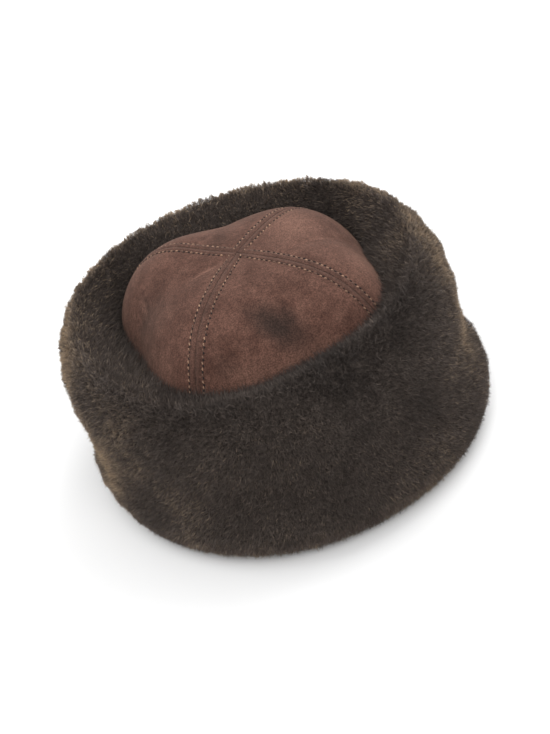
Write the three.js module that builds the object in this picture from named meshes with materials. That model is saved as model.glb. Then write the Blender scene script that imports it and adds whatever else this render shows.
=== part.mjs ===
import * as THREE from 'three';

// A sheepskin hat: a suede cap of four sewn panels inside a thick turned-up cuff of sheared fleece.
// Sizes are in millimetres. +Z is up, the wearer faces -Y and has the left hand at +X.
// The hat stands on its cuff, with the floor at z = 0.

// The cap, measured outside. A head of about 56 to 57 cm fits in it.
const CAP_HALF_WIDTH = 89;
const CAP_HALF_LENGTH = 95;
const CAP_TOP = 143.5;
const HEM_HEIGHT = 3;
const CAP_SQUARENESS = 3.6;
const SUEDE_WALL = 2.4;

// The sewn seams are stiff and stand out as ridges, which grow between these heights.
const RIDGE_START_HEIGHT = 72;
const RIDGE_FULL_HEIGHT = 102;
const SEAM_GAP = 0.3;

// The cuff is a doubled strip of fleece. It lies against the cap and rolls away from it over a soft lip.
const SEAT_GAP = 1;
const HEEL_HEIGHT = 6;
const HEEL_INSET = 5;
const FOOT_HEIGHT = 22;
const WAIST_HEIGHT = 45;
const LOBE_SHARE = 0.73;
const LIP_RADIUS_SHARE = 0.6;
const LIP_HEIGHT_SHARE = 0.8;
const FLOOR_INSET = 14;
const FLOOR_INNER_INSET = 3;

// The sheared pile parts into shallow locks, fused to the fold below them: two sets that cross,
// each with the locks in one turn of the cuff, the lean of their rows and their depth.
const LOCKS = [
  { round: 17, lean: 2.4, depth: 0.6 },
  { round: 29, lean: -1.7, depth: 0.5 },
];

// How finely the solids are cut.
const CUFF_COLUMNS = 96;
const CUFF_CURVE_STEPS = 28;
const INNER_FACE_STEPS = 12;

// The four seams, by their direction seen from above and how far they stand out as a share of the
// cap's radius, and the panel that follows each one, with how far its slack middle lies in from them.
const SEAMS = [
  { seam: 'left', azimuth: 357, ridge: 0.12, panel: 'crown_panel_back_left', slack: 0.23 },
  { seam: 'back', azimuth: 91, ridge: 0.13, panel: 'crown_panel_back_right', slack: 0.19 },
  { seam: 'right', azimuth: 186, ridge: 0.14, panel: 'crown_panel_front_right', slack: 0.1 },
  { seam: 'front', azimuth: 265, ridge: 0.13, panel: 'crown_panel_front_left', slack: 0.17 },
];

// Relief beside a seam: how far from it, and how much the suede rises there.
// The groove of the seam, the two raised edges that the topstitch holds down, then the open panel.
const SEAM_RELIEF = [
  { away: 0, rise: -0.9 },
  { away: 1.6, rise: 0.3 },
  { away: 3.8, rise: 0.5 },
  { away: 5.8, rise: -0.2 },
  { away: 8.5, rise: 0 },
];
const NARROWEST_PANEL = 40;

// Columns across the open part of a panel, as shares of it.
const OPEN_COLUMNS = [0.16, 0.33, 0.5, 0.67, 0.84];

// Rows down a panel, as degrees of bend from the top of the cap to the hem.
const PANEL_ROWS = [3, 8, 14, 21, 28, 35, 42, 50, 58, 66, 74, 82, 90];

// Dents and swellings of the suede by panel: centre seen from above, reach, direction of the reach, depth.
const DENTS = [
  { place: 'thumb dent, front right', x: -50, y: -48, along: 15, across: 9, turn: 93, depth: 2.5 },
  { place: 'swelling, back seam', x: -4, y: 52, along: 24, across: 28, turn: 90, depth: -4 },
  { place: 'crease by the top, back right', x: -17, y: 9, along: 18, across: 6, turn: 147, depth: 1.2 },
  { place: 'hollow, back right', x: -45, y: 50, along: 18, across: 10, turn: 43, depth: 2 },
  { place: 'fold, front left', x: 30, y: -46, along: 22, across: 6, turn: 153, depth: 1 },
  { place: 'saddle, back left', x: 34, y: 26, along: 16, across: 10, turn: 45, depth: 1 },
];

// The cuff's section at each azimuth: height and radius of the crest, height where the fleece meets
// the suede, radius of the upper lobe, of the waist below it and of the foot that stands on the floor.
const CUFF_ROWS = [
  { azimuth: 0, crestZ: 125, crestR: 116, seatZ: 101, lobeR: 135, waistR: 129, footR: 134 },
  { azimuth: 30, crestZ: 122, crestR: 123, seatZ: 99, lobeR: 142, waistR: 132, footR: 137 },
  { azimuth: 60, crestZ: 122, crestR: 126, seatZ: 99, lobeR: 143, waistR: 133, footR: 139 },
  { azimuth: 90, crestZ: 126, crestR: 120, seatZ: 101, lobeR: 139, waistR: 132, footR: 139 },
  { azimuth: 120, crestZ: 129, crestR: 118, seatZ: 99, lobeR: 134, waistR: 130, footR: 136 },
  { azimuth: 150, crestZ: 124, crestR: 118, seatZ: 102, lobeR: 130, waistR: 129, footR: 132 },
  { azimuth: 180, crestZ: 113, crestR: 118, seatZ: 105, lobeR: 130, waistR: 129, footR: 134 },
  { azimuth: 210, crestZ: 114, crestR: 117, seatZ: 103, lobeR: 133, waistR: 131, footR: 137 },
  { azimuth: 240, crestZ: 120, crestR: 116, seatZ: 107, lobeR: 130, waistR: 132, footR: 137 },
  { azimuth: 270, crestZ: 123, crestR: 114, seatZ: 111, lobeR: 129, waistR: 131, footR: 138 },
  { azimuth: 300, crestZ: 128, crestR: 112, seatZ: 112, lobeR: 127, waistR: 128, footR: 137 },
  { azimuth: 330, crestZ: 129, crestR: 111, seatZ: 103, lobeR: 131, waistR: 128, footR: 137 },
];

const suede = new THREE.MeshStandardMaterial({ color: '#6b4f45', roughness: 0.95, metalness: 0 });
const fleece = new THREE.MeshStandardMaterial({ color: '#3b3431', roughness: 1, metalness: 0 });

const { clamp, degToRad, euclideanModulo, lerp, smoothstep } = THREE.MathUtils;

// The four panels, each from its own seam to the next one.
const PANELS = SEAMS.map((seam, k) => {
  const next = SEAMS[(k + 1) % SEAMS.length];
  return {
    name: seam.panel,
    from: degToRad(seam.azimuth),
    turn: degToRad(euclideanModulo(next.azimuth - seam.azimuth, 360)),
    ridge: seam.ridge,
    nextRidge: next.ridge,
    slack: seam.slack,
  };
});

// A closed mesh from corner points and a list of three- and four-cornered faces.
function closedMesh(name, corners, faces, material) {
  const index = [];
  for (const [a, b, c, d] of faces) {
    index.push(a, b, c);
    if (d !== undefined) {
      index.push(a, c, d);
    }
  }
  const geometry = new THREE.BufferGeometry();
  const places = corners.flatMap((p) => [p.x, p.y, p.z]);
  geometry.setAttribute('position', new THREE.Float32BufferAttribute(places, 3));
  geometry.setIndex(index);
  geometry.computeVertexNormals();
  const mesh = new THREE.Mesh(geometry, material);
  mesh.name = name;
  return mesh;
}

// How deep the suede is pressed in at a place seen from above.
function dentDepth(x, y) {
  let depth = 0;
  for (const dent of DENTS) {
    const turn = degToRad(dent.turn);
    const dx = x - dent.x;
    const dy = y - dent.y;
    const along = (dx * Math.cos(turn) + dy * Math.sin(turn)) / dent.along;
    const across = (dy * Math.cos(turn) - dx * Math.sin(turn)) / dent.across;
    depth += dent.depth * Math.exp(-along * along - across * across);
  }
  return depth;
}

// How much of the cap's worn, hand-shaped form is there at a height, from none to all of it.
function shapedShare(z) {
  return clamp((z - RIDGE_START_HEIGHT) / (RIDGE_FULL_HEIGHT - RIDGE_START_HEIGHT), 0, 1);
}

// The cap's radius at a place across a panel, as a share of its plain radius:
// more on the ridge of a seam, less in the slack middle of the panel.
function ridgeShare(panel, share, z) {
  const slack = panel.slack * (1 - Math.cos(2 * Math.PI * share)) / 2;
  return 1 + shapedShare(z) * (lerp(panel.ridge, panel.nextRidge, share) - slack);
}

// A point of the cap. Share runs from seam to seam across a panel, bend from the top to the hem,
// and lift is measured outward from the plain surface.
function capPoint(panel, share, bend, lift) {
  const rise = Math.pow(Math.max(0, Math.cos(bend)), 2 / CAP_SQUARENESS);
  const reach = Math.pow(Math.sin(bend), 2 / CAP_SQUARENESS);
  const z = HEM_HEIGHT + (CAP_TOP - HEM_HEIGHT) * rise;
  const ridge = ridgeShare(panel, share, z);
  const azimuth = panel.from + panel.turn * share;
  const x = CAP_HALF_WIDTH * reach * ridge * Math.cos(azimuth);
  const y = CAP_HALF_LENGTH * reach * ridge * Math.sin(azimuth);
  const outward = new THREE.Vector3(
    Math.cos(azimuth) * Math.pow(reach, CAP_SQUARENESS - 1) / CAP_HALF_WIDTH,
    Math.sin(azimuth) * Math.pow(reach, CAP_SQUARENESS - 1) / CAP_HALF_LENGTH,
    Math.pow(rise, CAP_SQUARENESS - 1) / (CAP_TOP - HEM_HEIGHT),
  ).normalize();
  const point = new THREE.Vector3(x, y, z);
  return point.addScaledVector(outward, lift - shapedShare(z) * dentDepth(x, y));
}

// Places across a panel at one row: the stitched edge, the open suede, the other stitched edge.
function columnsAcross(panel, bend) {
  const reach = Math.pow(Math.sin(bend), 2 / CAP_SQUARENESS);
  const width = Math.max(NARROWEST_PANEL, CAP_HALF_WIDTH * reach * panel.turn);
  const fade = 1 - smoothstep(bend, degToRad(50), degToRad(70));
  const edge = SEAM_RELIEF.map(({ away, rise }) => ({ share: away / width, lift: rise * fade }));
  const open = edge[edge.length - 1].share;
  const middle = OPEN_COLUMNS.map((share) => ({ share: lerp(open, 1 - open, share), lift: 0 }));
  const far = edge.map(({ share, lift }) => ({ share: 1 - share, lift })).reverse();
  return [...edge, ...middle, ...far];
}

// One quarter panel, with its outside, inside, two seam edges and hem.
function panelMesh(panel) {
  const half = panel.turn / 2;
  const clear = SEAM_GAP / 2 / Math.sin(half);
  const middle = panel.from + half;
  const shift = new THREE.Vector3(clear * Math.cos(middle), clear * Math.sin(middle), 0);
  const corners = [capPoint(panel, 0.5, 0, SEAM_RELIEF[0].rise), capPoint(panel, 0.5, 0, -SUEDE_WALL)];
  const rows = PANEL_ROWS.map((degrees) => {
    const bend = degToRad(degrees);
    return columnsAcross(panel, bend).map(({ share, lift }) => {
      corners.push(capPoint(panel, share, bend, lift));
      corners.push(capPoint(panel, share, bend, -SUEDE_WALL));
      return { out: corners.length - 2, in: corners.length - 1 };
    });
  });
  corners.forEach((corner) => corner.add(shift));

  const tip = { out: 0, in: 1 };
  const last = rows[0].length - 1;
  const faces = [];
  for (let c = 0; c < last; c += 1) {
    const a = rows[0][c];
    const b = rows[0][c + 1];
    faces.push([tip.out, a.out, b.out]);
    faces.push([tip.in, b.in, a.in]);
  }
  for (let r = 0; r + 1 < rows.length; r += 1) {
    for (let c = 0; c < last; c += 1) {
      const a = rows[r][c];
      const b = rows[r][c + 1];
      const d = rows[r + 1][c];
      const e = rows[r + 1][c + 1];
      faces.push([a.out, d.out, e.out, b.out]);
      faces.push([a.in, b.in, e.in, d.in]);
    }
  }
  const first = [tip, ...rows.map((row) => row[0])];
  const final = [tip, ...rows.map((row) => row[last])];
  for (let r = 0; r + 1 < first.length; r += 1) {
    faces.push([first[r].out, first[r].in, first[r + 1].in, first[r + 1].out]);
    faces.push([final[r].out, final[r + 1].out, final[r + 1].in, final[r].in]);
  }
  const hem = rows[rows.length - 1];
  for (let c = 0; c < last; c += 1) {
    faces.push([hem[c + 1].out, hem[c].out, hem[c].in, hem[c + 1].in]);
  }
  return closedMesh(panel.name, corners, faces, suede);
}

// Outside radius of the cap in one direction and at one height.
function capRadius(azimuth, z) {
  const rise = clamp((z - HEM_HEIGHT) / (CAP_TOP - HEM_HEIGHT), 0, 1);
  const reach = Math.pow(1 - Math.pow(rise, CAP_SQUARENESS), 1 / CAP_SQUARENESS);
  const wide = Math.cos(azimuth) / CAP_HALF_WIDTH;
  const long = Math.sin(azimuth) / CAP_HALF_LENGTH;
  const around = Math.atan2(long, wide);
  const shares = PANELS.map(({ from, turn }) => euclideanModulo(around - from, 2 * Math.PI) / turn);
  const share = Math.min(...shares);
  const ridge = ridgeShare(PANELS[shares.indexOf(share)], share, z);
  return reach * ridge / Math.hypot(wide, long);
}

// The cuff's sizes at any azimuth, on a smooth closed curve through the rows of the table.
function cuffSizes(azimuth) {
  const count = CUFF_ROWS.length;
  const place = azimuth / (2 * Math.PI) * count;
  const before = Math.floor(place);
  const part = place - before;
  const row = (step) => CUFF_ROWS[(before + step + count) % count];
  const sizes = {};
  for (const name of ['crestZ', 'crestR', 'seatZ', 'lobeR', 'waistR', 'footR']) {
    const [a, b, c, d] = [row(-1)[name], row(0)[name], row(1)[name], row(2)[name]];
    const slope = (c - a) / 2;
    const nextSlope = (d - b) / 2;
    const bend = (3 * (c - b) - 2 * slope - nextSlope) * part * part;
    const twist = (2 * (b - c) + slope + nextSlope) * part * part * part;
    sizes[name] = b + slope * part + bend + twist;
  }
  return sizes;
}

// One section of the cuff: up the outside from the floor, over the crest and the lip to the suede,
// down the inner face beside the cap to the floor, and back under.
function cuffSection(azimuth) {
  const { crestZ, crestR, seatZ, lobeR, waistR, footR } = cuffSizes(azimuth);
  const seatR = capRadius(azimuth, seatZ) + SEAT_GAP;
  const curve = new THREE.SplineCurve([
    new THREE.Vector2(footR - FLOOR_INSET, 0),
    new THREE.Vector2(footR - HEEL_INSET, HEEL_HEIGHT),
    new THREE.Vector2(footR, FOOT_HEIGHT),
    new THREE.Vector2(waistR, WAIST_HEIGHT),
    new THREE.Vector2(lobeR, crestZ * LOBE_SHARE),
    new THREE.Vector2(crestR, crestZ),
    new THREE.Vector2(lerp(seatR, crestR, LIP_RADIUS_SHARE), lerp(seatZ, crestZ, LIP_HEIGHT_SHARE)),
    new THREE.Vector2(seatR, seatZ),
  ]);
  const section = [];
  for (let step = 0; step <= CUFF_CURVE_STEPS; step += 1) {
    const along = step / CUFF_CURVE_STEPS;
    const point = curve.getPoint(along);
    const side = curve.getTangent(along);
    const fade = smoothstep(along, 0.15, 0.3) * (1 - smoothstep(along, 0.8, 0.95));
    const locks = LOCKS.map(({ round, lean, depth }) => depth * Math.cos(round * azimuth + lean * step));
    const lift = fade * (locks[0] + locks[1]);
    point.x += lift * side.y;
    point.y = Math.max(0, point.y - lift * side.x);
    section.push(point);
  }
  for (let step = 1; step <= INNER_FACE_STEPS; step += 1) {
    const down = Math.pow(step / (INNER_FACE_STEPS + 0.1), 1.5);
    const z = seatZ * (1 - down);
    section.push(new THREE.Vector2(capRadius(azimuth, z) + SEAT_GAP, z));
  }
  section.push(new THREE.Vector2(capRadius(azimuth, 0) + FLOOR_INNER_INSET, 0));
  return section;
}

// The whole cuff as one closed ring.
function cuffMesh() {
  const corners = [];
  let size = 0;
  for (let column = 0; column < CUFF_COLUMNS; column += 1) {
    const azimuth = 2 * Math.PI * column / CUFF_COLUMNS;
    const section = cuffSection(azimuth);
    size = section.length;
    for (const { x: radius, y: z } of section) {
      corners.push(new THREE.Vector3(radius * Math.cos(azimuth), radius * Math.sin(azimuth), z));
    }
  }
  const faces = [];
  for (let column = 0; column < CUFF_COLUMNS; column += 1) {
    const here = column * size;
    const next = (column + 1) % CUFF_COLUMNS * size;
    for (let k = 0; k < size; k += 1) {
      const up = (k + 1) % size;
      faces.push([here + k, next + k, next + up, here + up]);
    }
  }
  return closedMesh('cuff', corners, faces, fleece);
}

const hat = new THREE.Group();
hat.name = 'sheepskin_hat';
PANELS.forEach((panel) => hat.add(panelMesh(panel)));
hat.add(cuffMesh());

export default hat;
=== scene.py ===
# %% [markdown]
# # A sheepskin hat
# The hat is a cap of four suede panels, sewn together with two rows of topstitch beside each seam,
# inside a thick cuff of sheared fleece. The CAD model gives the sizes and the frame.
# This lesson dresses it: brushed suede, thread, and a pile of short fibres. Everything is in metres,
# +Z is up, the wearer faces -Y, and the hat stands on the floor at z = 0.

# %% Load the frame
import math

import bmesh
import bpy
import numpy as np
from mathutils import Matrix, Vector


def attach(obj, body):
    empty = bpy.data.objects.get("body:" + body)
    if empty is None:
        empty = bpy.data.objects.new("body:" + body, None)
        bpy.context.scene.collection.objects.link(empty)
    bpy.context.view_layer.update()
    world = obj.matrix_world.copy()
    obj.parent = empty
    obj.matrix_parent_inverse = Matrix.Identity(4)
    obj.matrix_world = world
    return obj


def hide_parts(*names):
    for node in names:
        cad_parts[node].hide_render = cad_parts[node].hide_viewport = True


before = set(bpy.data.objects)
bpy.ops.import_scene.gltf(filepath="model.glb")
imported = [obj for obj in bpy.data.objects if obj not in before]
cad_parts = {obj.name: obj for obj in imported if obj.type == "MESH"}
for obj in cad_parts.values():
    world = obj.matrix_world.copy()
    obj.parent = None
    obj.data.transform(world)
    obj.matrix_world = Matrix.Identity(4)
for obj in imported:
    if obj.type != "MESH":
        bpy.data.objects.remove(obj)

scene = bpy.context.scene
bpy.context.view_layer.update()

# %% [markdown]
# ## The camera
# The hat was seen from its front right side, about 34 degrees above the floor, with the camera rolled.
# A track-to constraint could aim the camera, but it can't roll it. So the three axes of the camera are
# worked out from the two angles and the roll, and they become the columns of its matrix.

# %% Camera
VIEW_AROUND, VIEW_UP, VIEW_ROLL = (math.radians(a) for a in (-51, 34.28, -18.57))
VIEW_AWAY = 0.9502
AIM = Vector((0, 0, 0.06))
LENS, SHIFT_X, SHIFT_Y = 70.7, 0.0048, -0.0144

to_camera = Vector((
    math.sin(VIEW_AROUND) * math.cos(VIEW_UP),
    -math.cos(VIEW_AROUND) * math.cos(VIEW_UP),
    math.sin(VIEW_UP),
))
level_right = Vector((math.cos(VIEW_AROUND), math.sin(VIEW_AROUND), 0))
level_up = to_camera.cross(level_right)
image_right = math.cos(VIEW_ROLL) * level_right + math.sin(VIEW_ROLL) * level_up
image_up = math.cos(VIEW_ROLL) * level_up - math.sin(VIEW_ROLL) * level_right

camera = bpy.data.objects.new("camera", bpy.data.cameras.new("camera"))
axes = Matrix((image_right, image_up, to_camera)).transposed().to_4x4()
camera.matrix_world = Matrix.Translation(AIM + VIEW_AWAY * to_camera) @ axes
camera.data.lens = LENS
camera.data.shift_x = SHIFT_X
camera.data.shift_y = SHIFT_Y
scene.collection.objects.link(camera)
scene.camera = camera
print("camera at", [round(x, 3) for x in camera.matrix_world.translation])

# %% [markdown]
# ## Floor and light
# A product shot has a white sweep and large soft lamps. A lamp behind and to the right of the hat
# brightens the top of the cap, one behind it on the left catches the tips of the pile, and one in front
# opens up the dark fleece. White surroundings fill the rest. The Standard view keeps white paper white.

# %% Floor
PAPER_HALF_SIZE, PAPER_WHITE, PAPER_ROUGHNESS = 6, (0.93, 0.93, 0.93), 0.9


def plain_material(name, colour, roughness):
    """A shader whose numbers are the same all over."""
    material = bpy.data.materials.new(name)
    material.use_nodes = True
    shader = material.node_tree.nodes["Principled BSDF"]
    shader.inputs["Base Color"].default_value = (*colour, 1)
    shader.inputs["Roughness"].default_value = roughness
    return material


def piece_from(bm, name, material):
    """Turns a finished bmesh into an object that sits at the origin."""
    mesh = bpy.data.meshes.new(name)
    bm.to_mesh(mesh)
    bm.free()
    mesh.materials.append(material)
    piece = bpy.data.objects.new(name, mesh)
    scene.collection.objects.link(piece)
    return piece


bm = bmesh.new()
bmesh.ops.create_grid(bm, x_segments=1, y_segments=1, size=PAPER_HALF_SIZE)
floor = piece_from(bm, "floor", plain_material("white_paper", PAPER_WHITE, PAPER_ROUGHNESS))
print("floor:", 2 * PAPER_HALF_SIZE, "m wide")

# %% Light
SURROUNDINGS_STRENGTH = 0.88
LAMPS = [
    # name, azimuth and elevation in degrees, distance, size, watts
    ("lamp_right_behind", 345, 52, 1.5, 1.0, 11),
    ("lamp_left_behind", 110, 40, 1.6, 0.9, 5),
    ("lamp_front", 225, 48, 1.7, 1.2, 10),
]

scene.view_settings.view_transform = "Standard"
surroundings = bpy.data.worlds.new("white_surroundings")
surroundings.use_nodes = True
background = surroundings.node_tree.nodes["Background"]
background.inputs["Color"].default_value = (1, 1, 1, 1)
background.inputs["Strength"].default_value = SURROUNDINGS_STRENGTH
scene.world = surroundings

for name, azimuth, elevation, away, size, watts in LAMPS:
    lamp = bpy.data.objects.new(name, bpy.data.lights.new(name, "AREA"))
    lamp.data.size = size
    lamp.data.energy = watts
    a, e = math.radians(azimuth), math.radians(elevation)
    place = Vector((math.cos(a) * math.cos(e), math.sin(a) * math.cos(e), math.sin(e)))
    lamp.location = AIM + away * place
    lamp.rotation_mode = "QUATERNION"
    lamp.rotation_quaternion = place.to_track_quat("Z", "Y")
    scene.collection.objects.link(lamp)
print("lamps:", ", ".join(row[0] for row in LAMPS))

# %% [markdown]
# ## The form of the cap
# Each panel is a quarter of a rounded box with a very soft corner. The sewn seams are stiff and stand out
# as ridges, and the middle of each panel is slack and lies further in. A sculpted mesh would do, but a
# formula gives the same shape as the CAD solid and can be asked for any point, which the stitches need.

# %% Sizes of the cap
CAP_HALF_WIDTH, CAP_HALF_LENGTH, CAP_TOP, HEM_HEIGHT = 0.089, 0.095, 0.1435, 0.003
CAP_SQUARENESS = 3.6
RIDGE_START_HEIGHT, RIDGE_FULL_HEIGHT = 0.072, 0.102
SUEDE_WALL = 0.0024
SEAM_GAP = 0.00004

SEAMS = [
    # seam, azimuth, how far it stands out, the panel that follows it, the slack of that panel
    ("left", 357, 0.12, "crown_panel_back_left", 0.23),
    ("back", 91, 0.13, "crown_panel_back_right", 0.19),
    ("right", 186, 0.14, "crown_panel_front_right", 0.10),
    ("front", 265, 0.13, "crown_panel_front_left", 0.17),
]
DENTS = [
    # centre seen from above, reach along and across, turn in degrees, depth
    (-0.050, -0.048, 0.015, 0.009, 93, 0.0025),
    (-0.004, 0.052, 0.024, 0.028, 90, -0.004),
    (-0.017, 0.009, 0.018, 0.006, 147, 0.0012),
    (-0.045, 0.050, 0.018, 0.010, 43, 0.002),
    (0.030, -0.046, 0.022, 0.006, 153, 0.001),
    (0.034, 0.026, 0.016, 0.010, 45, 0.001),
]
print(len(SEAMS), "seams and", len(DENTS), "dents")


# %% Form of the cap
def ramp(value, start, reach):
    """0 up to the start, 1 from one reach further on, and straight between."""
    return np.clip((value - start) / reach, 0, 1)


def dent_depth(x, y):
    """How deep the suede is pressed in at a place seen from above."""
    depth = 0
    for middle_x, middle_y, reach_along, reach_across, turn, deep in DENTS:
        c, s = math.cos(math.radians(turn)), math.sin(math.radians(turn))
        along = ((x - middle_x) * c + (y - middle_y) * s) / reach_along
        across = ((y - middle_y) * c - (x - middle_x) * s) / reach_across
        depth = depth + deep * np.exp(-along**2 - across**2)
    return depth


def shaped_share(z):
    """How much of the shaped form is there at a height."""
    return ramp(z, RIDGE_START_HEIGHT, RIDGE_FULL_HEIGHT - RIDGE_START_HEIGHT)


def ridge_share(panel, share, z):
    """The cap's radius as a share of the plain one: more at a seam, less in the slack middle."""
    slack = panel["slack"] * (1 - np.cos(2 * np.pi * share)) / 2
    ridge = panel["ridge"] + (panel["next_ridge"] - panel["ridge"]) * share
    return 1 + shaped_share(z) * (ridge - slack)


def cap_points(panel, share, bend, lift):
    """Points of the cap: share runs across a panel, bend from the top (0) to the hem (a right angle)."""
    rise = np.maximum(np.cos(bend), 0) ** (2 / CAP_SQUARENESS)
    reach = np.sin(bend) ** (2 / CAP_SQUARENESS)
    z = HEM_HEIGHT + (CAP_TOP - HEM_HEIGHT) * rise
    ridge = ridge_share(panel, share, z)
    azimuth = panel["start"] + panel["turn"] * share
    x = CAP_HALF_WIDTH * reach * ridge * np.cos(azimuth)
    y = CAP_HALF_LENGTH * reach * ridge * np.sin(azimuth)
    outward = np.stack([
        np.cos(azimuth) * reach ** (CAP_SQUARENESS - 1) / CAP_HALF_WIDTH,
        np.sin(azimuth) * reach ** (CAP_SQUARENESS - 1) / CAP_HALF_LENGTH,
        rise ** (CAP_SQUARENESS - 1) / (CAP_TOP - HEM_HEIGHT),
    ], -1)
    outward /= np.linalg.norm(outward, axis=-1, keepdims=True)
    height = lift - shaped_share(z) * dent_depth(x, y)
    return np.stack([x, y, z], -1) + outward * height[..., None] + panel["shift"]


# %% List of the panels
def seam_line(azimuth):
    """The direction of a seam seen from above."""
    line = np.array([CAP_HALF_WIDTH * math.cos(azimuth), CAP_HALF_LENGTH * math.sin(azimuth)])
    return line / np.linalg.norm(line)


panels = []
for k, (_, azimuth, ridge, name, slack) in enumerate(SEAMS):
    following = SEAMS[(k + 1) % len(SEAMS)]
    start, turn = math.radians(azimuth), math.radians((following[1] - azimuth) % 360)
    clear = SEAM_GAP / 2 / math.sin(turn / 2)
    middle = start + turn / 2
    panels.append({
        "name": name, "start": start, "turn": turn, "slack": slack,
        "ridge": ridge, "next_ridge": following[2],
        "seam_lines": [seam_line(start), seam_line(start + turn)],
        "shift": clear * np.array([math.cos(middle), math.sin(middle), 0]),
    })
print("panels:", ", ".join(panel["name"] for panel in panels))

# %% [markdown]
# ## Wrinkles
# Worn suede is never quite smooth. Blender's noise texture could push the mesh with a Displace modifier.
# Here the same kind of noise is made as numbers, because the pile needs it too: a block of random
# values, blended smoothly from one cell to the next. The seed keeps it the same on every run.

# %% Smooth noise
NOISE_CELLS = 32


def smooth_noise(points, cell, seed):
    """Noise from -1 to 1 at each point, which changes over about one cell."""
    block = np.random.default_rng(seed).uniform(-1, 1, (NOISE_CELLS,) * 3)
    place = points / cell
    low = np.floor(place).astype(int)
    part = place - low
    part = part * part * (3 - 2 * part)
    total = np.zeros(points.shape[:-1])
    for corner in np.ndindex(2, 2, 2):
        weight = np.where(corner, part, 1 - part).prod(-1)
        i = (low + corner) % NOISE_CELLS
        total += weight * block[i[..., 0], i[..., 1], i[..., 2]]
    return total


sample = smooth_noise(np.random.default_rng(1).uniform(0, 1, (1000, 3)), cell=0.02, seed=5)
print("noise from", round(sample.min(), 2), "to", round(sample.max(), 2))

# %% [markdown]
# ## Suede
# Suede is the brushed flesh side of the skin. It has no gloss, a soft sheen where the nap stands up, and
# a colour that wanders with the lie of the nap. A scan of a real skin could give that colour, but it
# would be a file. Here two noises of different size mix three browns, on the hat's own coordinates.

# %% Node helpers
def new_material(name):
    """A material with its nodes and links, ready to be built on."""
    material = bpy.data.materials.new(name)
    material.use_nodes = True
    return material, material.node_tree.nodes, material.node_tree.links


def add_noise(nodes, links, vector, scale, detail, roughness=0.6):
    """A noise texture on the given coordinates."""
    noise = nodes.new("ShaderNodeTexNoise")
    noise.inputs["Scale"].default_value = scale
    noise.inputs["Detail"].default_value = detail
    noise.inputs["Roughness"].default_value = roughness
    links.new(vector, noise.inputs["Vector"])
    return noise.outputs["Fac"]


def add_range(nodes, links, value, low, high, to_low=0.0, to_high=1.0):
    """Stretches a value from one range to another, with soft ends."""
    stretch = nodes.new("ShaderNodeMapRange")
    stretch.interpolation_type = "SMOOTHSTEP"
    limits = {"From Min": low, "From Max": high, "To Min": to_low, "To Max": to_high}
    for name, number in limits.items():
        stretch.inputs[name].default_value = number
    links.new(value, stretch.inputs["Value"])
    return stretch.outputs["Result"]


def add_noise_range(nodes, links, vector, noise, limits):
    """A noise (scale, detail, roughness) that is stretched to a range."""
    return add_range(nodes, links, add_noise(nodes, links, vector, *noise), *limits)


def add_mix(nodes, links, factor, first, second):
    """Mixes two colours. Each may be a socket or three numbers."""
    mix = nodes.new("ShaderNodeMix")
    mix.data_type = "RGBA"
    links.new(factor, mix.inputs["Factor"])
    for colour, socket in ((first, mix.inputs[6]), (second, mix.inputs[7])):
        if isinstance(colour, tuple):
            socket.default_value = (*colour, 1)
        else:
            links.new(colour, socket)
    return mix.outputs[2]


def add_math(nodes, links, operation, first, second):
    """One sum on two sockets."""
    step = nodes.new("ShaderNodeMath")
    step.operation = operation
    links.new(first, step.inputs[0])
    links.new(second, step.inputs[1])
    return step.outputs[0]


def add_bump(nodes, links, height, strength, distance, shader):
    """Fine relief from a height."""
    bump = nodes.new("ShaderNodeBump")
    bump.inputs["Strength"].default_value = strength
    bump.inputs["Distance"].default_value = distance
    links.new(height, bump.inputs["Height"])
    links.new(bump.outputs["Normal"], shader.inputs["Normal"])


# %% Colours of the suede
SUEDE_DARK = (0.066, 0.030, 0.0215)
SUEDE_MID = (0.108, 0.052, 0.038)
SUEDE_LIGHT = (0.166, 0.085, 0.062)
# darkest suede: the pressed nap of marks, and also painted shade in folds and a hollow, and painted shadow
# of the cuff
SUEDE_PRESSED_AND_SHADE = (0.025, 0.016, 0.013)
SUEDE_SEAM = (0.064, 0.035, 0.027)
# a noise holds scale, detail and roughness; a range holds its two limits and what they become
WANDER_NOISE, WANDER_RANGE = (45, 6, 0.65), (0.34, 0.66)
CLOUD_NOISE, CLOUD_RANGE = (120, 5), (0.4, 0.8, 0.0, 0.4)

suede, nodes, links = new_material("suede")
shader = nodes["Principled BSDF"]
here = nodes.new("ShaderNodeTexCoord").outputs["Object"]
wander = add_noise_range(nodes, links, here, WANDER_NOISE, WANDER_RANGE)
colour = add_mix(nodes, links, wander, SUEDE_DARK, SUEDE_MID)
cloud = add_noise_range(nodes, links, here, CLOUD_NOISE, CLOUD_RANGE)
colour = add_mix(nodes, links, cloud, colour, SUEDE_LIGHT)
print("suede, plain:", len(nodes), "nodes")
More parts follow.
